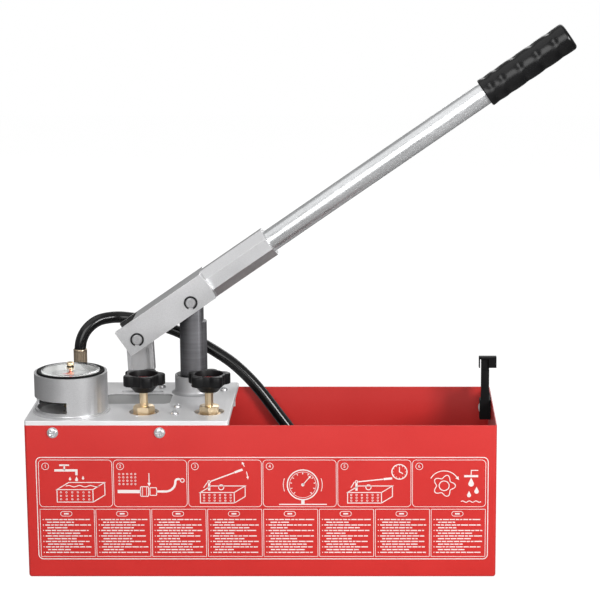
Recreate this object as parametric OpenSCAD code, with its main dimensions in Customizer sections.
// Manual hydrostatic test pump: an open sheet tank, a lever-driven plunger pump on a
// cast top plate, a pressure gauge, two needle valves and a hose that lies coiled inside.
// Frame: origin at the centre of the tank's footprint, X along the tank, Z up, in mm.

/* [Tank] */
// outside length of the tank
tank_l = 500; // [494:1:508]
// outside width of the tank
tank_w = 170; // [169:1:176]
// outside height of the tank
tank_h = 168; // [164:1:172]
// thickness of the tank's sheet
sheet_t = 1.5; // [1.2:0.1:1.8]

/* [Top plate] */
// length of the top plate along the tank
plate_l = 216; // [213:1:219]
// thickness of the top plate
plate_t = 5; // [4:0.5:6]

/* [Pump] */
// diameter of the plunger
plunger_d = 30; // [28:0.5:31]
// outside diameter of the barrel above the plate
boss_d = 42; // [41:0.5:44]
// height of the barrel above the plate
boss_h = 20; // [18:0.5:21]

/* [Lever] */
// diameter of the two lever pins
pin_d = 11; // [10:0.5:12]
// outside width of the lever head
head_w = 50; // [48:0.5:50.5]
// diameter of the lever tube
tube_d = 25; // [24:0.5:26]
// outside diameter of the grip
grip_d = 32.4; // [30.5:0.1:33]
// length of the grip
grip_l = 110; // [100:1:116]

/* [Gauge and valves] */
// outside diameter of the gauge guard
guard_d = 78; // [76:0.2:80]
// height of the gauge guard
guard_h = 43.5; // [42:0.5:45]
// diameter of a valve knob over its lobes
knob_d = 47; // [43:0.5:48]
// number of lobes on a valve knob
knob_lobes = 5; // [5:1:7]
// diameter of a valve spindle
spindle_d = 9; // [8:0.5:9.5]

/* [Hose] */
// outside diameter of the hose
hose_d = 13; // [12:0.5:13.5]

/* [Hidden] */
$fn = 48;
eps = 0.5;
// small play between pieces that are fixed together, and between a pin and its hole
seat = 0.02;
run_fit = 0.05;
play = 0.3;

// main levels: floor of the tank, rim, top of the plate
rim_z = tank_h;
top_z = tank_h + plate_t;
left_x = -tank_l / 2;
right_x = tank_l / 2;
plate_end = left_x + plate_l;
bend_r = 3;

// places on the top plate
gauge_x = left_x + 44.8;
gauge_y = -41.5;
valve_y = -46;
valve_xs = [left_x + 123, plate_end - 23];
barrel_x = plate_end - 46.5;
barrel_y = 42;
outlet_x = left_x + 41.5;
outlet_y = 58.5;
body_screws_at = [
    [(valve_xs[0] + valve_xs[1]) / 2 - 1, -28], [(valve_xs[0] + valve_xs[1]) / 2 - 1, -57],
    [plate_end - 14, 47], [barrel_x - 37.5, 62]];
wall_screw_xs = [left_x + 30.2, left_x + 143.3];
wall_screw_z = rim_z - 7.9;

// screws
screw_r = 3;
pan_r = 5.8;
body_pan_r = 4;
pan_h = 3.4;
cross_w = 1.5;
cross_l = 6;

// top plate
skirt_t = 3;
skirt_h = 22;
skirt_in = 4;
apron_h = 14;
apron_t = 4;
skirt_y = tank_w / 2 - sheet_t - play;
valve_hole_r = 16;
recess_x = [left_x + 75, barrel_x - 22.5];
recess_y = [-13, 33];
recess_r = 8;
recess_d = 1.5;
slot_w = 10;
slot_l = 46;
slot_r = 4;
slot_x = barrel_x - 57.5;

// pump body
gallery_z = rim_z - 52;
gallery_r = 3.5;
bar_h = 28;
bar_y0 = -62;
bar_y1 = -30;
bar_x0 = left_x + 24;
bar_x1 = plate_end - 4;
barrel_r = 22;
boss_r = boss_d / 2;
barrel_z0 = rim_z - 106;
boss_z1 = top_z + boss_h;
bore_r = plunger_d / 2 + 0.6;
pack_r = boss_r - 2;
pack_z0 = top_z + 3;
pack_h = 8;
foot_r = 13;
foot_h = 24;
bridge_x = 36;
tower_r = 13;
tower_z1 = rim_z + 1;
tower_bore_r = 8;
valve_seat_z = gallery_z + 12;
port_r = 3;
arm_x = 28;
stud_z1 = rim_z - 18;
gauge_thread_r = 6;
outlet_thread_r = 9;
post_r = 5.5;

// plunger, lever and link
rest_a = 34.7;
pin_gap = 72.3;
plunger_r = plunger_d / 2;
pin_r = pin_d / 2;
pin_p = [barrel_x, barrel_y, top_z + 106];
pin_a = pin_p - pin_gap * [cos(rest_a), 0, sin(rest_a)];
pin_b = [barrel_x - 55.5, barrel_y, rim_z - 16];
link_len = norm(pin_a - pin_b);
link_a = asin((pin_a[0] - pin_b[0]) / link_len);
shoulder_z = top_z + 80.6;
plunger_z0 = rim_z - 33;
tongue_w = 22;
cheek_t = 4;
head_u0 = -16.2;
head_u1 = 98;
head_v0 = -11.6;
head_v1 = 20.2;
web_u0 = 8;
lever_v = 3.8;
socket_af = 33.4;
socket_u1 = 179;
socket_bore_u0 = 112;
end_wall = 8;
end_arc_r = 63;
tube_wall = 2;
grip_u1 = 574.5;
grip_u0 = grip_u1 - grip_l;
grip_cap = 8;
pin_over = 3;
clip_t = 1.2;
clip_d_out = pin_d + 4;
groove = 0.8;
spacer_r = 9;

// link
eye_r = 13.5;
link_w = 29;
link_t = 16;
link_web = 6;
link_rim = 4;
link_neck = 40;
tongue_t = 7;
foot_w = 19;
foot_pin_r = 4;
lug_gap = 6;
lug_t = 5;
lug_h = 36;
window_w = 18.5;
window_h = 18.5;
window_off = [2.8, 4];
lug_x0 = 17;

// suction side
seat_bore_r = 4;
chamber_r = 7;
suction_ball_r = 5.5;
cage_t = 4;
cage_hole_r = 3;
flange_r = 18;
flange_h = 6;
spigot_r = 8;
spigot_h = 12;
pipe_r = 10;
pipe_z0 = 20;
strainer_r = 13.5;
strainer_z0 = 5;
strainer_h = 30;
strainer_slots = 10;
slot_cut = 2.4;

// discharge side
chamber_y = 16;
discharge_bore_r = 6;
discharge_ball_r = 5;
plug_nose_y = -2;
plug_nose_r = 4;
plug_af = 17;
plug_head = 6;
plug_thread = 10;

// valve parts
nut_af = 20;
nut_h = 7;
spindle_r = spindle_d / 2;
stem_box_r = spindle_r + 2.1;
stem_box_z1 = rim_z - 4;
ring_wire = 0.85;
ring_z = rim_z - 11;
needle_z0 = valve_seat_z + 2;
needle_tip_r = 1;
needle_h = 5;
knob_z0 = top_z + 22.5;
hub_r = 10;
hub_h = 7.5;
knob_z1 = top_z + 42;
cup_wall = 2.5;
cup_z = top_z + 33;
lobe_r = 7.2;
knob_core = knob_d / 2 - 5;
cap_h = 2.6;
knob_turn = [0, 14];

// gauge
guard_r = guard_d / 2;
guard_wall = 2.7;
guard_foot = 2;
guard_foot_h = 2.5;
window_z = [top_z + 5.8, top_z + 18];
window_a = [170, 270.5];
case_r = guard_r - guard_wall - play;
case_body_r = case_r - 3;
case_wall = 2;
case_z0 = top_z + 15;
case_rim_z = top_z + 35.5;
case_z1 = top_z + guard_h - 1;
lens_r = 32;
lens_z1 = case_z1 + 3.5;
lens_z0 = case_z1 - 2.5;
lens_t = 2;
dial_z = lens_z0 - 4;
dial_t = 1;
hand_t = 0.8;
hand_l = 26;
hand_w = 2.4;
shaft_r = 1.5;
drag_z = dial_z + 4.6;
pointer_z = dial_z + 2;
reset_r = 4;
reset_base = 2.5;
reset_h = 5;
stem_af = 14;
stem_h = 11;
bourdon_r = 20;
bourdon_wire = 2.6;

// hose and its ends
hose_r = hose_d / 2;
ferrule_r = hose_r + 1.1;
ferrule_z0 = top_z + 12;
ferrule_z1 = top_z + 44;
ferrule_cap = 3;
nipple_r = 5.2;
nipple_af = 19;
nipple_hex_h = 10;
run_sides = 10;
coil_sides = 6;
loop_rings = 24;
coil_x = 150;
coil_turns = 1.5;
coil_r = tank_w / 2 - sheet_t - hose_r - 7.5;
coil_pitch = hose_d + 0.6;
coil_step = hose_d + 2.8;
coil_z = sheet_t + hose_r + 0.2;
coil_end_r = coil_r - coil_pitch * (coil_turns - 1);
end_z = coil_z + coil_step;
end_ferrule_l = 32;
end_nipple_l = 9;
end_flange_r = 8.4;
end_flange_t = 3;
swivel_af = 24;
swivel_l = 21;
swivel_wall = 3;
swivel_bore_r = 9.3;
swivel_thread = 14;
swivel_relief = 0.7;

// route of the free run, drawn for the standard tank and moved with it
drawn_left = -250;
drawn_top = 173;
up_route = [
    [-208.5, 58.5, 190], [-208.5, 58.5, 199], [-208.5, 58.5, 208], [-208.5, 58.5, 217],
    [-207.1, 59.3, 227], [-203.1, 61.5, 236.1], [-196.7, 64.9, 243.3], [-188.8, 69.3, 247.9],
    [-180, 74.1, 249.5], [-168.9, 78.5, 249.7], [-157, 80.2, 248.7], [-143, 80.6, 246.4],
    [-126, 80.8, 241.7], [-104, 80.8, 233.8], [-82, 80.4, 223.4], [-60, 79.6, 210.6],
    [-38, 78.2, 195.2], [-14, 76.4, 171.2]];
down_route = [
    [13, 73.6, 135.9], [40, 71.3, 100.2], [66, 69.9, 65.8], [93.2, 69.5, 29.9],
    [105.5, 69.5, 18.1], [120.9, 69.5, 10.6]];
down_y = coil_r - 69.5;
route = concat(
    [for (p = up_route) p + [left_x - drawn_left, 0, top_z - drawn_top]],
    [for (p = down_route) p + [0, down_y, 0]],
    [[coil_x - hose_d - 1.5, coil_r, coil_z]]);
route_steps = 2;

// lever clip on the right wall
clip_x0 = right_x - sheet_t - 12.4;
clip_x1 = right_x - sheet_t - play;
clip_post_x = [clip_x0 + 1.3, clip_x1 - 1.9];
clip_step = 3.4;
clip_half = tube_d / 2 + 0.5;
clip_arm_t = 7;
clip_base_h = 22;
clip_base_in = 6;
clip_set_back = 2;
clip_bar = [1, 2.5];
clip_lip = 4.2;
clip_lip_t = 1.3;
clip_lip_h = 12.2;
clip_arm_h = 20.6;
clip_hook_h = 15;
clip_back_h = 17;
stow_a = rest_a - 42;
stow_drop = 45.5;
clip_seat_z = pin_p[2] - stow_drop + (clip_x1 - barrel_x) * tan(stow_a)
    + (lever_v - tube_d / 2) / cos(stow_a) - 1.2;
rivet_r = 2.5;
rivet_head = 1.4;
rivet_z = rim_z - 10;

// helpers
function across(af, n) = af / 2 / cos(180 / n);
function unit(v) = v / norm(v);
function smooth(t) = t * t * (3 - 2 * t);

// point of a smooth curve between b and c, with the neighbours a and d
function blend(a, b, c, d, t) = 0.5 * (2 * b + (c - a) * t
    + (2 * a - 5 * b + 4 * c - d) * t * t + (3 * b - a - 3 * c + d) * t * t * t);
function curve(pts, k) = let (n = len(pts)) concat(
    [for (i = [0 : n - 2], j = [0 : k - 1])
        blend(pts[max(i - 1, 0)], pts[i], pts[i + 1], pts[min(i + 2, n - 1)], j / k)],
    [pts[n - 1]]);
function heading(p, i) = unit(p[min(i + 1, len(p) - 1)] - p[max(i - 1, 0)]);

// a round tube of n sides along a list of points; ref is never along the path
module sweep(p, r, n, ref) {
    m = len(p);
    pts = [for (i = [0 : m - 1]) let (d = heading(p, i), a = unit(cross(ref, d)), b = cross(d, a))
        for (j = [0 : n - 1]) p[i] + r * (cos(360 * j / n) * a + sin(360 * j / n) * b)];
    sides = [for (i = [0 : m - 2], j = [0 : n - 1], h = [0, 1]) let (k = (j + 1) % n)
        h == 0 ? [i * n + j, (i + 1) * n + j, (i + 1) * n + k]
               : [i * n + j, (i + 1) * n + k, i * n + k]];
    caps = [[for (j = [0 : n - 1]) j], [for (j = [n - 1 : -1 : 0]) (m - 1) * n + j]];
    polyhedron(points = pts, faces = concat(sides, caps));
}

module rounded(w, d, r) {
    square([w - 2 * r, d], center = true);
    square([w, d - 2 * r], center = true);
    for (x = [-1, 1], y = [-1, 1])
        translate([x * (w / 2 - r), y * (d / 2 - r)]) circle(r);
}

module box(a, b) {
    translate(a) cube(b - a);
}

module ring(r_out, r_in, h) {
    difference() {
        cylinder(r = r_out, h = h);
        translate([0, 0, -eps]) cylinder(r = r_in, h = h + 2 * eps);
    }
}

module along_y(p) {
    translate(p) rotate([-90, 0, 0]) children();
}

module along_x(p) {
    translate(p) rotate([0, 90, 0]) children();
}

// a pan-head screw, head above the plane, shank below
module pan_screw(shank, head_r = pan_r) {
    difference() {
        union() {
            cylinder(r = head_r, h = pan_h);
            translate([0, 0, -shank]) cylinder(r = screw_r, h = shank + eps);
        }
        for (a = [0, 90])
            rotate(a) translate([-cross_l / 2, -cross_w / 2, pan_h / 2])
                cube([cross_l, cross_w, pan_h]);
    }
}

// a helical wire with a curl of rest at each end
module spring(h, r, wire, curls) {
    rings = 8;
    n = curls * rings;
    path = [for (i = [0 : n]) [r * cos(360 * i / rings), r * sin(360 * i / rings),
        wire + (h - 2 * wire) * i / n]];
    sweep(path, wire, coil_sides, [0, 0, 1]);
}

// frames of the lever and of the link, at rest
module lever_frame() {
    translate(pin_a) rotate([0, -rest_a, 0]) children();
}

module link_frame() {
    translate(pin_a) rotate([0, link_a, 0]) children();
}

// tank and plate
module tank() {
    color("#b01c1f") difference() {
        linear_extrude(tank_h) rounded(tank_l, tank_w, bend_r);
        translate([0, 0, sheet_t]) linear_extrude(tank_h)
            rounded(tank_l - 2 * sheet_t, tank_w - 2 * sheet_t, bend_r - sheet_t);
        for (x = wall_screw_xs, s = [-1, 1])
            along_y([x, s * tank_w / 2 - 2 * sheet_t, wall_screw_z])
                cylinder(r = screw_r + play, h = 4 * sheet_t);
        for (s = [-1, 1])
            along_x([right_x - 2 * sheet_t, barrel_y + s * clip_half, rivet_z])
                cylinder(r = rivet_r + play, h = 4 * sheet_t);
    }
}

module top_plate() {
    color("#c9cbce") difference() {
        union() {
            translate([left_x + plate_l / 2, 0, rim_z])
                linear_extrude(plate_t) rounded(plate_l, tank_w, bend_r);
            for (s = [0, 1])
                mirror([0, s, 0])
                    box([left_x + skirt_in, skirt_y - skirt_t, rim_z - skirt_h],
                        [plate_end - skirt_in, skirt_y, rim_z + eps]);
            box([plate_end - skirt_in - apron_t, skirt_t - skirt_y, rim_z - apron_h],
                [plate_end - skirt_in, skirt_y - skirt_t, rim_z + eps]);
        }
        for (x = valve_xs)
            translate([x, valve_y, rim_z - eps]) cylinder(r = valve_hole_r, h = plate_t + 2 * eps);
        translate([barrel_x, barrel_y, rim_z - eps])
            cylinder(r = boss_r + run_fit, h = plate_t + 2 * eps);
        translate([gauge_x, gauge_y, rim_z - eps])
            cylinder(r = gauge_thread_r + 3, h = plate_t + 2 * eps);
        translate([outlet_x, outlet_y, rim_z - eps])
            cylinder(r = outlet_thread_r + 2, h = plate_t + 2 * eps);
        for (p = body_screws_at)
            translate([p[0], p[1], rim_z - eps]) cylinder(r = screw_r + play, h = plate_t + 2 * eps);
        translate([slot_x, barrel_y, rim_z - eps])
            linear_extrude(plate_t + 2 * eps) rounded(slot_l, slot_w, slot_r);
        translate([(recess_x[0] + recess_x[1]) / 2, (recess_y[0] + recess_y[1]) / 2, top_z - recess_d])
            linear_extrude(plate_t)
                rounded(recess_x[1] - recess_x[0], recess_y[1] - recess_y[0], recess_r);
        for (x = wall_screw_xs, s = [0, 1])
            mirror([0, s, 0]) along_y([x, skirt_y - skirt_t - eps, wall_screw_z])
                cylinder(r = screw_r + seat, h = skirt_t + 2 * eps);
    }
}

module plate_screws() {
    shank = sheet_t + play + skirt_t + 2;
    color("#b9bbbe") for (x = wall_screw_xs, s = [0, 1])
        mirror([0, s, 0]) along_y([x, tank_w / 2, wall_screw_z]) pan_screw(shank);
}

module body_screws() {
    color("#b9bbbe") for (p = body_screws_at)
        translate([p[0], p[1], top_z]) pan_screw(plate_t + 14, body_pan_r);
}

// pump body: barrel, gallery bar, valve towers, lugs for the link
module pump_body() {
    bar_z0 = gallery_z - bar_h / 2;
    bar_z1 = gallery_z + bar_h / 2;
    color("#aeb1b4") difference() {
        union() {
            translate([barrel_x, barrel_y, barrel_z0]) cylinder(r = barrel_r, h = rim_z - barrel_z0);
            translate([barrel_x, barrel_y, rim_z - eps]) cylinder(r = boss_r, h = boss_z1 - rim_z + eps);
            box([bar_x0, bar_y0, bar_z0], [bar_x1, bar_y1, bar_z1]);
            box([barrel_x - bridge_x / 2, bar_y1 - eps, bar_z0],
                [barrel_x + bridge_x / 2, barrel_y - barrel_r / 2, bar_z1]);
            box([outlet_x - arm_x / 2, bar_y1 - eps, bar_z0],
                [outlet_x + arm_x / 2, outlet_y + arm_x / 2, bar_z1]);
            for (x = valve_xs)
                translate([x, valve_y, gallery_z]) cylinder(r = tower_r, h = tower_z1 - gallery_z);
            translate([gauge_x, gauge_y, gallery_z]) cylinder(r = tower_r - 2, h = stud_z1 - gallery_z);
            translate([outlet_x, outlet_y, gallery_z]) cylinder(r = tower_r, h = stud_z1 - gallery_z);
            for (p = body_screws_at)
                translate([p[0], p[1], gallery_z]) cylinder(r = post_r, h = rim_z - gallery_z);
            box([barrel_x, body_screws_at[2][1] - post_r, bar_z0],
                [body_screws_at[2][0], body_screws_at[2][1] + post_r, bar_z1]);
            box([body_screws_at[3][0], barrel_y + lug_gap, bar_z0],
                [barrel_x, body_screws_at[3][1], bar_z1]);
            box([body_screws_at[0][0], body_screws_at[0][1] - post_r, bar_z0],
                [barrel_x, body_screws_at[0][1] + post_r, bar_z1]);
            for (s = [-1, 1])
                translate([0, barrel_y + s * (lug_gap + lug_t / 2), 0])
                    box([pin_b[0] - lug_x0, -lug_t / 2, pin_b[2] - lug_h + 14],
                        [barrel_x - barrel_r / 2, lug_t / 2, pin_b[2] + 15]);
        }
        barrel_bores();
        valve_bores();
        translate([pin_b[0] + window_off[0] - window_w / 2, barrel_y - lug_gap - lug_t - eps,
            pin_b[2] + window_off[1] - window_h / 2])
            cube([window_w, 2 * (lug_gap + lug_t + eps), window_h]);
        for (p = body_screws_at)
            translate([p[0], p[1], rim_z - 15]) cylinder(r = screw_r + seat, h = 15 + eps);
    }
}

module barrel_bores() {
    translate([barrel_x, barrel_y, barrel_z0 - eps]) cylinder(r = foot_r + seat, h = foot_h + 2 * eps);
    translate([barrel_x, barrel_y, barrel_z0 + foot_h]) cylinder(r = bore_r, h = boss_z1);
    translate([barrel_x, barrel_y, pack_z0]) cylinder(r = pack_r + seat, h = boss_z1);
    along_y([barrel_x, chamber_y - eps, gallery_z])
        cylinder(r = port_r, h = barrel_y - bore_r - chamber_y + 2);
    along_y([barrel_x, bar_y0 - eps, gallery_z])
        cylinder(r = discharge_bore_r, h = chamber_y - bar_y0 + eps);
}

module valve_bores() {
    along_x([bar_x0 - eps, valve_y, gallery_z])
        cylinder(r = gallery_r, h = valve_xs[1] - bar_x0 + eps);
    for (x = valve_xs) {
        translate([x, valve_y, gallery_z]) cylinder(r = port_r - 0.5, h = bar_h);
        translate([x, valve_y, valve_seat_z]) cylinder(r = tower_bore_r, h = tower_z1);
    }
    along_x([valve_xs[1], valve_y, valve_seat_z + 8])
        cylinder(r = port_r, h = tower_r + 2);
    translate([gauge_x, gauge_y, gallery_z]) cylinder(r = port_r - 1, h = bar_h);
    translate([gauge_x, gauge_y, stud_z1 - 16]) cylinder(r = gauge_thread_r + seat, h = 16 + eps);
    translate([outlet_x, outlet_y, gallery_z]) cylinder(r = port_r + 1, h = bar_h);
    translate([outlet_x, outlet_y, stud_z1 - 14]) cylinder(r = outlet_thread_r + seat, h = 14 + eps);
    along_y([outlet_x, valve_y, gallery_z]) cylinder(r = port_r, h = outlet_y - valve_y);
}

module gallery_plug() {
    color("#b98d3c") along_x([bar_x0, valve_y, gallery_z]) {
        translate([0, 0, -4]) cylinder(r = across(11, 6), h = 4, $fn = 6);
        cylinder(r = gallery_r - seat, h = 10);
    }
}

module plunger_packing() {
    color("#2a2a2b") translate([barrel_x, barrel_y, pack_z0])
        ring(pack_r, plunger_r + run_fit, pack_h);
}

module wiper_ring() {
    color("#1b1b1c") translate([barrel_x, barrel_y, pack_z0 + pack_h])
        ring(pack_r, plunger_r + run_fit, boss_z1 - pack_z0 - pack_h + 0.8);
}

// suction side
module suction_seat() {
    color("#b98d3c") translate([barrel_x, barrel_y, barrel_z0]) difference() {
        union() {
            cylinder(r = foot_r, h = foot_h - 2);
            translate([0, 0, -flange_h]) cylinder(r = flange_r, h = flange_h);
            translate([0, 0, -flange_h - spigot_h]) cylinder(r = spigot_r, h = spigot_h + eps);
        }
        translate([0, 0, -flange_h - spigot_h - eps]) cylinder(r = seat_bore_r, h = flange_h + spigot_h + 4);
        translate([0, 0, 2]) cylinder(r = chamber_r, h = foot_h);
    }
}

module suction_cage() {
    color("#b98d3c") translate([barrel_x, barrel_y, barrel_z0 + foot_h - 2 - cage_t])
        ring(chamber_r - seat, cage_hole_r, cage_t);
}

suction_ball_z = barrel_z0 + 2 + sqrt(pow(suction_ball_r, 2) - pow(seat_bore_r, 2)) + seat;

module suction_ball() {
    color("#c4c6c8") translate([barrel_x, barrel_y, suction_ball_z]) sphere(r = suction_ball_r);
}

module suction_spring() {
    z0 = suction_ball_z + 4.1;
    color("#9b9da0") translate([barrel_x, barrel_y, z0])
        spring(barrel_z0 + foot_h - 2 - cage_t - z0 - 0.1, 4.6, 0.5, 3);
}

module suction_pipe() {
    z1 = barrel_z0 - flange_h;
    color("#8b8d90") translate([barrel_x, barrel_y, pipe_z0])
        ring(pipe_r, spigot_r + seat, z1 - pipe_z0);
}

module suction_strainer() {
    color("#23262a") translate([barrel_x, barrel_y, strainer_z0]) difference() {
        cylinder(r = strainer_r, h = strainer_h);
        translate([0, 0, 2]) cylinder(r = strainer_r - 2, h = strainer_h - 9);
        translate([0, 0, 2]) cylinder(r = pipe_r + seat, h = strainer_h);
        for (i = [0 : strainer_slots - 1])
            rotate(360 * i / strainer_slots)
                translate([strainer_r - 4, -slot_cut / 2, 5]) cube([6, slot_cut, strainer_h - 14]);
    }
}

// discharge side
module discharge_plug() {
    color("#b98d3c") {
        along_y([barrel_x, bar_y0 - plug_head, gallery_z])
            cylinder(r = across(plug_af, 6), h = plug_head, $fn = 6);
        along_y([barrel_x, bar_y0 - eps, gallery_z])
            cylinder(r = discharge_bore_r - seat, h = plug_thread + eps);
        along_y([barrel_x, bar_y0, gallery_z])
            cylinder(r = plug_nose_r, h = plug_nose_y - bar_y0);
    }
}

discharge_ball_y = chamber_y - sqrt(pow(discharge_ball_r, 2) - pow(port_r, 2)) - seat;

module discharge_ball() {
    color("#c4c6c8") translate([barrel_x, discharge_ball_y, gallery_z]) sphere(r = discharge_ball_r);
}

module discharge_spring() {
    y1 = discharge_ball_y - 3.4;
    color("#9b9da0") along_y([barrel_x, plug_nose_y + 0.1, gallery_z])
        spring(y1 - plug_nose_y - 0.2, 4.3, 0.5, 3);
}

// valves
module gland_nut(i, turn) {
    color("#c49a45") translate([valve_xs[i], valve_y, 0]) difference() {
        union() {
            translate([0, 0, tower_z1]) rotate(turn)
                cylinder(r = across(nut_af, 6), h = top_z + nut_h - tower_z1, $fn = 6);
            translate([0, 0, ring_z - 8]) cylinder(r = tower_bore_r - seat, h = tower_z1 - ring_z + 8 + eps);
        }
        translate([0, 0, ring_z - 9]) cylinder(r = spindle_r + run_fit, h = top_z);
        translate([0, 0, ring_z - 9]) cylinder(r = stem_box_r, h = stem_box_z1 - ring_z + 9);
    }
}

module valve_spindle(i) {
    color("#c49a45") translate([valve_xs[i], valve_y, 0]) {
        translate([0, 0, needle_z0]) cylinder(r1 = needle_tip_r, r2 = spindle_r, h = needle_h);
        translate([0, 0, needle_z0 + needle_h])
            cylinder(r = spindle_r, h = knob_z0 + 7 - needle_z0 - needle_h);
    }
}

module spindle_ring(i) {
    color("#1b1b1c") translate([valve_xs[i], valve_y, ring_z])
        rotate_extrude() translate([spindle_r + run_fit + ring_wire, 0]) circle(ring_wire);
}

module valve_knob(i) {
    color("#1d1d1e") translate([valve_xs[i], valve_y, 0]) difference() {
        union() {
            translate([0, 0, knob_z0]) cylinder(r1 = hub_r, r2 = knob_core - 1, h = hub_h);
            translate([0, 0, knob_z0 + hub_h - eps]) linear_extrude(knob_z1 - knob_z0 - hub_h + eps) {
                circle(knob_core);
                for (k = [0 : knob_lobes - 1])
                    rotate(knob_turn[i] + 360 * k / knob_lobes)
                        translate([knob_d / 2 - lobe_r, 0]) circle(lobe_r);
            }
        }
        translate([0, 0, cup_z]) cylinder(r = knob_core - cup_wall, h = knob_z1);
        translate([0, 0, knob_z0 - eps]) cylinder(r = spindle_r + seat, h = 7 + eps + seat);
    }
}

module knob_cap(i) {
    color("#b01c1f") translate([valve_xs[i], valve_y, cup_z])
        cylinder(r = knob_core - cup_wall - seat, h = cap_h);
}

// gauge
module gauge_guard() {
    color("#c9cbce") translate([gauge_x, gauge_y, top_z]) difference() {
        union() {
            cylinder(r = guard_r, h = guard_h);
            cylinder(r = guard_r + guard_foot, h = guard_foot_h);
        }
        translate([0, 0, -eps]) cylinder(r = guard_r - guard_wall, h = guard_h + 2 * eps);
        translate([0, 0, window_z[0] - top_z]) rotate(window_a[0])
            rotate_extrude(angle = window_a[1] - window_a[0])
                translate([guard_r - guard_wall - 1, 0])
                    square([guard_wall + 4, window_z[1] - window_z[0]]);
    }
}

module gauge_case() {
    color("#1b1b1c") translate([gauge_x, gauge_y, 0]) difference() {
        union() {
            translate([0, 0, case_z0]) cylinder(r = case_body_r, h = case_z1 - case_z0);
            translate([0, 0, case_rim_z]) cylinder(r = case_r, h = case_z1 - case_rim_z);
        }
        translate([0, 0, case_z0 + case_wall]) cylinder(r = lens_r - 1, h = guard_h);
        translate([0, 0, lens_z0]) cylinder(r = lens_r + seat, h = guard_h);
        translate([0, 0, case_z0 - eps]) cylinder(r = gauge_thread_r + seat, h = case_wall + 2 * eps);
    }
}

module gauge_stem() {
    color("#c49a45") translate([gauge_x, gauge_y, 0]) {
        translate([0, 0, stud_z1 - 13]) cylinder(r = gauge_thread_r, h = case_z0 + case_wall - stud_z1 + 13);
        translate([0, 0, case_z0 - stem_h]) cylinder(r = across(stem_af, 6), h = stem_h, $fn = 6);
        translate([-5, -7, case_z0 + case_wall]) cube([10, 14, 6]);
    }
}

module gauge_bourdon() {
    z = case_z0 + case_wall + 6 + bourdon_wire;
    color("#c49a45") translate([gauge_x, gauge_y, z]) {
        rotate(-60) rotate_extrude(angle = 240)
            translate([bourdon_r, 0]) circle(bourdon_wire);
        rotate(-60) translate([0, 0, -bourdon_wire]) cube([bourdon_r, 5, 2 * bourdon_wire]);
    }
}

module gauge_dial() {
    color("#f1f1ee") translate([gauge_x, gauge_y, dial_z])
        ring(lens_r - 1 - seat, shaft_r + play, dial_t);
}

module gauge_lens() {
    color("#dfe8ea", 0.4) translate([gauge_x, gauge_y, 0]) difference() {
        translate([0, 0, lens_z0]) cylinder(r = lens_r, h = lens_z1 - lens_z0);
        translate([0, 0, lens_z0 - eps]) cylinder(r = lens_r - lens_t, h = lens_z1 - lens_z0 - lens_t + eps);
        translate([0, 0, lens_z0]) cylinder(r = shaft_r + run_fit, h = guard_h);
    }
}

// a hand of the gauge, drawn along +X
module hand(z, l) {
    translate([0, -hand_w / 2, z]) cube([l, hand_w, hand_t]);
    translate([-8, -hand_w / 2, z]) cube([8 + eps, hand_w, hand_t]);
    translate([0, 0, z]) cylinder(r = 3.5, h = hand_t);
}

zero_a = 225;

module gauge_pointer() {
    color("#1b1b1c") translate([gauge_x, gauge_y, 0]) {
        rotate(zero_a) hand(pointer_z, hand_l);
        translate([0, 0, dial_z - 3]) cylinder(r = shaft_r, h = pointer_z + hand_t - dial_z + 3);
    }
}

module drag_pointer() {
    color("#c02a25") translate([gauge_x, gauge_y, 0]) {
        rotate(zero_a - 4) hand(drag_z, hand_l - 2);
        translate([0, 0, drag_z]) cylinder(r = shaft_r, h = lens_z1 + reset_base - drag_z);
    }
}

module drag_knob() {
    color("#c49a45") translate([gauge_x, gauge_y, lens_z1 + play]) difference() {
        union() {
            cylinder(r = reset_r, h = reset_base);
            translate([0, 0, reset_base]) cylinder(r = reset_r - 0.3, h = reset_h);
        }
        translate([0, 0, -eps]) cylinder(r = shaft_r + seat, h = reset_base - play + eps);
    }
}

// outlet and hose
module outlet_nipple() {
    color("#c49a45") translate([outlet_x, outlet_y, 0]) {
        translate([0, 0, stud_z1 - 12]) cylinder(r = outlet_thread_r, h = top_z - stud_z1 + 12 + 1);
        translate([0, 0, top_z]) cylinder(r = across(nipple_af, 6), h = nipple_hex_h, $fn = 6);
        translate([0, 0, top_z + nipple_hex_h - eps])
            cylinder(r = nipple_r, h = ferrule_z0 + ferrule_cap - top_z - nipple_hex_h + eps);
    }
}

module hose_ferrule() {
    color("#c49a45") translate([outlet_x, outlet_y, ferrule_z0]) difference() {
        cylinder(r = ferrule_r, h = ferrule_z1 - ferrule_z0);
        translate([0, 0, ferrule_cap]) cylinder(r = hose_r + seat, h = ferrule_z1);
        translate([0, 0, -eps]) cylinder(r = nipple_r + seat, h = ferrule_cap + 2 * eps);
    }
}

module hose_run() {
    color("#151516") sweep(curve(route, route_steps), hose_r, run_sides, [0, 1, 0]);
}

// one turn spirals in on the floor, then half a turn rolls over onto it
function coil_radius(t) = t <= 1 ? coil_r - coil_pitch * t
    : coil_r - coil_pitch * (t - 1) - coil_pitch * cos(90 * smooth((t - 1) / (coil_turns - 1)));
function coil_height(t) = t <= 1 ? coil_z
    : coil_z + coil_step * sin(90 * smooth((t - 1) / (coil_turns - 1)));
function coil_point(t) = [coil_x + coil_radius(t) * sin(360 * t),
    coil_radius(t) * cos(360 * t), coil_height(t)];
coil_rings = coil_turns * loop_rings;
coil_path = concat([[coil_x - hose_d, coil_r, coil_z]],
    [for (i = [0 : coil_rings]) coil_point(i / loop_rings)],
    [[coil_x - hose_d, -coil_end_r, end_z]]);
coil_gap = min([for (i = [0 : coil_rings], j = [i + loop_rings / 2 : 1 : coil_rings])
    norm(coil_path[i + 1] - coil_path[j + 1])]) - hose_d;
echo("least gap of the coil to itself", coil_gap);

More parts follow.
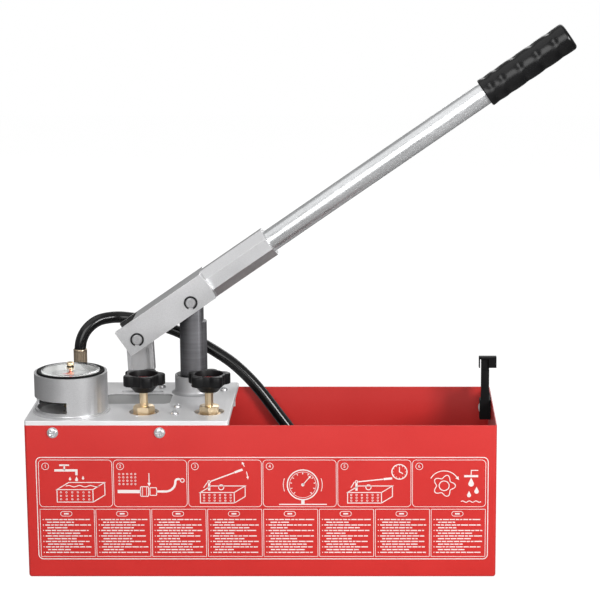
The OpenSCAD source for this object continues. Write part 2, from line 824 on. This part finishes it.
module hose_coil() {
    color("#151516") sweep(coil_path, hose_r, coil_sides, [0, 0, 1]);
}

end_x = coil_x - hose_d - play;
end_p = [end_x - end_ferrule_l + hose_d - 1, -coil_end_r, end_z];

module hose_end() {
    color("#c49a45") difference() {
        union() {
            along_x(end_p) cylinder(r = ferrule_r, h = end_ferrule_l);
            along_x(end_p - [end_nipple_l, 0, 0]) cylinder(r = nipple_r, h = end_nipple_l + eps);
            along_x(end_p - [end_nipple_l + end_flange_t, 0, 0]) cylinder(r = end_flange_r, h = end_flange_t);
        }
        along_x([end_x - 1, -coil_end_r, end_z]) cylinder(r = hose_r + seat, h = end_ferrule_l);
        along_x(end_p - [end_nipple_l + end_flange_t + eps, 0, 0]) cylinder(r = port_r, h = end_ferrule_l);
    }
}

swivel_p = end_p - [end_nipple_l - 0.2 - swivel_wall + swivel_l, 0, 0];

module swivel_nut() {
    color("#c49a45") difference() {
        along_x(swivel_p) cylinder(r = across(swivel_af, 6), h = swivel_l, $fn = 6);
        along_x(swivel_p - [eps, 0, 0]) cylinder(r = swivel_bore_r, h = swivel_thread + 2 * eps);
        along_x(swivel_p + [swivel_thread, 0, 0])
            cylinder(r = swivel_bore_r + swivel_relief, h = swivel_l - swivel_wall - swivel_thread);
        along_x(swivel_p) cylinder(r = nipple_r + run_fit, h = swivel_l + eps);
    }
}

// lever clip
module lever_clip() {
    y0 = barrel_y - clip_half - clip_arm_t;
    y1 = barrel_y + clip_half + clip_arm_t;
    in_y = barrel_y - clip_half;
    bar_y = y0 - clip_bar[0];
    back_x = clip_x0 + clip_step;
    post_z = clip_seat_z + clip_arm_h;
    hook_z = post_z + clip_hook_h;
    color("#1a1a1b") difference() {
        union() {
            box([clip_x0, y0, rim_z - clip_base_h], [clip_x1, in_y + clip_base_in, rim_z]);
            box([back_x, y0, rim_z - clip_base_h], [clip_x1, y1, rim_z]);
            box([back_x, y0 + eps, rim_z - eps], [clip_post_x[1] - eps, y1, clip_seat_z]);
            box([back_x, y1 - clip_arm_t, rim_z - eps],
                [clip_post_x[1] - eps, y1, clip_seat_z + clip_back_h]);
            // front post, its set-back head and the hook on it
            box([clip_post_x[0], y0, rim_z - eps], [clip_post_x[1], in_y, post_z]);
            box([clip_post_x[0], y0 + clip_set_back, post_z - eps], [clip_post_x[1], in_y, hook_z - eps]);
            box([clip_x0 - clip_lip_t, bar_y, hook_z - clip_bar[1]], [right_x + clip_lip, in_y, hook_z]);
            box([clip_x0 - clip_lip_t, bar_y, hook_z - clip_lip_h], [clip_x0, in_y, hook_z - eps]);
            box([clip_post_x[1] - eps, bar_y, hook_z - clip_lip_h], [right_x + clip_lip, in_y, hook_z - eps]);
        }
        for (s = [-1, 1])
            along_x([clip_x0 - 2, barrel_y + s * clip_half, rivet_z])
                cylinder(r = rivet_r + seat, h = clip_x1 - clip_x0 + 4);
    }
}

// the rivet behind the step of the base is shorter
module clip_rivets() {
    color("#b9bbbe") for (s = [-1, 1]) {
        x0 = clip_x0 + (s > 0 ? clip_step : 0);
        along_x([0, barrel_y + s * clip_half, rivet_z]) {
            translate([0, 0, x0 - rivet_head]) cylinder(r = 2 * rivet_r, h = rivet_head);
            translate([0, 0, x0 - eps]) cylinder(r = rivet_r, h = right_x - x0 + 2 * eps);
            translate([0, 0, right_x]) cylinder(r = 2 * rivet_r, h = rivet_head);
        }
    }
}

// plunger and lever
module plunger() {
    color("#55585b") translate([barrel_x, barrel_y, 0]) difference() {
        union() {
            translate([0, 0, plunger_z0]) cylinder(r = plunger_r, h = shoulder_z - plunger_z0);
            intersection() {
                translate([0, 0, shoulder_z - eps])
                    cylinder(r = plunger_r, h = pin_p[2] + plunger_r - shoulder_z);
                union() {
                    translate([-tongue_w / 2, -plunger_r, shoulder_z - eps])
                        cube([tongue_w, 2 * plunger_r, pin_p[2] - shoulder_z + eps]);
                    along_y([0, -plunger_r, pin_p[2]]) cylinder(r = tongue_w / 2, h = 2 * plunger_r);
                }
            }
        }
        along_y([0, -plunger_r - eps, pin_p[2]]) cylinder(r = pin_r + run_fit, h = 2 * plunger_r + 2 * eps);
    }
}

// a lever pin with a groove near each end, along Y through p
module lever_pin(p) {
    half = head_w / 2 + pin_over;
    color("#8f9295") difference() {
        along_y(p - [0, half, 0]) cylinder(r = pin_r, h = 2 * half);
        for (s = [-1, 1])
            along_y(p + [0, s * (head_w / 2 + 0.2 + clip_t / 2) - clip_t / 2 - seat, 0])
                ring(pin_r + 1, pin_r - groove, clip_t + 2 * seat);
    }
}

module plunger_pin() {
    lever_pin(pin_p);
}

module link_pin() {
    lever_pin(pin_a);
}

// open retaining rings, the gap points down
module pin_clips() {
    color("#1b1b1c") for (p = [pin_a, pin_p], s = [-1, 1])
        along_y(p + [0, s * (head_w / 2 + 0.2 + clip_t / 2) - clip_t / 2, 0]) difference() {
            ring(clip_d_out / 2, pin_r - groove + seat, clip_t);
            translate([-2.5, 0, -eps]) cube([5, clip_d_out, clip_t + 2 * eps]);
        }
}

module pin_spacers() {
    gap = head_w / 2 - cheek_t - plunger_r;
    color("#c9cbce") for (s = [-1, 1])
        along_y(pin_p + [0, s * (plunger_r + gap / 2) - gap / 2 + play / 2, 0])
            ring(spacer_r, pin_r + seat, gap - play);
}

module head_outline() {
    corner = 1.5;
    square_h = head_v1 - head_v0;
    difference() {
        translate([head_u0, head_v0]) square([head_u1 - head_u0 + 2, square_h]);
        translate([head_u0 - eps, head_v0 - eps]) square([corner + eps, corner + eps]);
        translate([head_u0 - eps, head_v1 - corner]) square([corner + eps, corner + eps]);
        difference() {
            translate([head_u1 - 6, head_v0 - eps]) square([12, square_h + 2 * eps]);
            translate([head_u1 + 2 - end_arc_r, (head_v0 + head_v1) / 2]) circle(end_arc_r);
        }
    }
    translate([head_u0 + corner, head_v0 + corner]) circle(corner);
    translate([head_u0 + corner, head_v1 - corner]) circle(corner);
}

// lever head: a channel open below, an end wall and an octagon socket
module lever_head() {
    color("#c9cbce") lever_frame() difference() {
        union() {
            translate([0, head_w / 2, 0]) rotate([90, 0, 0]) linear_extrude(head_w) head_outline();
            along_x([head_u1 - 2, 0, lever_v])
                rotate(22.5) cylinder(r = across(socket_af, 8), h = socket_u1 - head_u1 + 2, $fn = 8);
        }
        box([head_u0 - eps, cheek_t - head_w / 2, head_v0 - eps],
            [head_u1 - end_wall, head_w / 2 - cheek_t, head_v1 - cheek_t]);
        box([head_u0 - eps, cheek_t - head_w / 2, head_v0 - eps],
            [web_u0, head_w / 2 - cheek_t, head_v1 + eps]);
        for (u = [0, pin_gap])
            along_y([u, -head_w, 0]) cylinder(r = pin_r + seat, h = 2 * head_w);
        along_x([socket_bore_u0, 0, lever_v]) cylinder(r = tube_d / 2 + seat, h = socket_u1);
    }
}

module lever_tube() {
    color("#a9acaf") lever_frame() along_x([socket_bore_u0, 0, lever_v])
        ring(tube_d / 2, tube_d / 2 - tube_wall, grip_u1 - grip_cap - socket_bore_u0);
}

module lever_grip() {
    color("#1a1a1b") lever_frame() along_x([grip_u0, 0, lever_v]) difference() {
        cylinder(r = grip_d / 2, h = grip_l);
        translate([0, 0, -eps]) cylinder(r = tube_d / 2 + seat, h = grip_l - grip_cap + eps);
    }
}

// link: an eye between the cheeks, a ribbed stem and a flat foot through the plate
module link() {
    half = head_w / 2 - cheek_t - play;
    color("#c4c6c9") link_frame() difference() {
        union() {
            along_y([0, -half, 0]) cylinder(r = eye_r, h = 2 * half);
            box([-link_w / 2, -link_t / 2, -link_neck], [link_w / 2, link_t / 2, 0]);
            box([-foot_w / 2, -tongue_t / 2, -link_len], [foot_w / 2, tongue_t / 2, 0]);
            along_y([0, -tongue_t / 2, -link_len]) cylinder(r = foot_w / 2, h = tongue_t);
        }
        for (s = [0, 1])
            mirror([0, s, 0])
                box([-link_w / 2 + link_rim, link_web / 2, -link_neck - eps],
                    [link_w / 2 - link_rim, link_t, -eye_r]);
        along_y([0, -head_w, 0]) cylinder(r = pin_r + run_fit, h = 2 * head_w);
        along_y([0, -tongue_t, -link_len]) cylinder(r = foot_pin_r + seat, h = 2 * tongue_t);
    }
}

module link_foot_pin() {
    half = lug_gap + lug_t + 1;
    color("#8f9295") along_y(pin_b - [0, half, 0]) cylinder(r = foot_pin_r, h = 2 * half);
}

tank();
top_plate();
plate_screws();
pump_body();
body_screws();
gallery_plug();
plunger_packing();
wiper_ring();
suction_seat();
suction_cage();
suction_ball();
suction_spring();
suction_pipe();
suction_strainer();
discharge_plug();
discharge_ball();
discharge_spring();
gland_nut(0, 30);  // gland_nut_left
gland_nut(1, 0);  // gland_nut_right
valve_spindle(0);  // valve_spindle_left
valve_spindle(1);  // valve_spindle_right
spindle_ring(0);  // spindle_ring_left
spindle_ring(1);  // spindle_ring_right
valve_knob(0);  // valve_knob_left
valve_knob(1);  // valve_knob_right
knob_cap(0);  // knob_cap_left
knob_cap(1);  // knob_cap_right
gauge_guard();
gauge_case();
gauge_stem();
gauge_bourdon();
gauge_dial();
gauge_lens();
gauge_pointer();
drag_pointer();
drag_knob();
outlet_nipple();
hose_ferrule();
hose_run();
hose_coil();
hose_end();
swivel_nut();
lever_clip();
clip_rivets();
plunger();
plunger_pin();
pin_spacers();
link();
link_pin();
link_foot_pin();
pin_clips();
lever_head();
lever_tube();
lever_grip();
